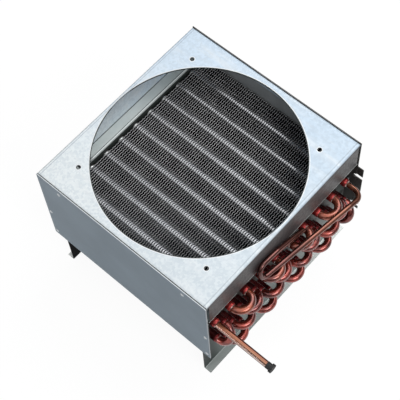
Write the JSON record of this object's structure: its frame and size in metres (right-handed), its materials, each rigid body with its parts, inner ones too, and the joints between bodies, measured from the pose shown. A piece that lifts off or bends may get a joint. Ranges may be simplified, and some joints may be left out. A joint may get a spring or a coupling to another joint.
{
  "type": "refrigerator condenser",
  "caption": "Air-cooled refrigerator condenser: finned copper coil in a sheet metal frame with a square fan cowl, on two feet.",
  "frame": {"origin": "centre of the fan opening on the cowl's outer face", "axes": "+Z out of the fan opening, +X along the tubes towards the return bends and the inlet stub, +Y from the front panel to the rear panel"},
  "size_m": [0.3389, 0.2624, 0.2085],
  "materials": {
    "galvanised": "bright galvanised sheet with fine spangle",
    "panel_steel": "grey galvanised sheet",
    "rear_steel": "dark sheet",
    "plate_steel": "dull galvanised plate",
    "fin_aluminium": "thin rolled aluminium",
    "brazed_copper": "copper tube darkened and reddened by brazing",
    "bright_copper": "drawn copper tube",
    "plug_plastic": "black moulded plastic",
    "rivet_aluminium": "dull rivet"
  },
  "bodies": {
    "root": {"cowl": "galvanised", "front_panel": "panel_steel", "rear_panel": "rear_steel", "left_tube_sheet": "plate_steel", "right_tube_sheet": "plate_steel", "fin_pack": "fin_aluminium", "hairpin_01": "brazed_copper", "hairpin_02": "brazed_copper", "hairpin_03": "brazed_copper", "hairpin_04": "brazed_copper", "hairpin_05": "brazed_copper", "hairpin_06": "brazed_copper", "hairpin_07": "brazed_copper", "hairpin_08": "brazed_copper", "hairpin_09": "brazed_copper", "hairpin_10": "brazed_copper", "hairpin_11": "brazed_copper", "hairpin_12": "brazed_copper", "hairpin_13": "brazed_copper", "hairpin_14": "brazed_copper", "hairpin_15": "brazed_copper", "hairpin_16": "brazed_copper", "hairpin_17": "brazed_copper", "hairpin_18": "brazed_copper", "hairpin_19": "brazed_copper", "return_bend_01": "brazed_copper", "return_bend_02": "brazed_copper", "return_bend_03": "brazed_copper", "return_bend_04": "brazed_copper", "return_bend_05": "brazed_copper", "return_bend_06": "brazed_copper", "return_bend_07": "brazed_copper", "return_bend_08": "brazed_copper", "return_bend_09": "brazed_copper", "return_bend_10": "brazed_copper", "return_bend_11": "brazed_copper", "return_bend_12": "brazed_copper", "return_bend_13": "brazed_copper", "return_bend_14": "brazed_copper", "return_bend_15": "brazed_copper", "return_bend_16": "brazed_copper", "return_bend_17": "brazed_copper", "return_bend_18": "brazed_copper", "inlet_stub": "bright_copper", "liquid_line": "bright_copper", "inlet_plug": "plug_plastic", "front_rivets": "rivet_aluminium", "rear_rivets": "rivet_aluminium"}
  },
  "joints": []
}
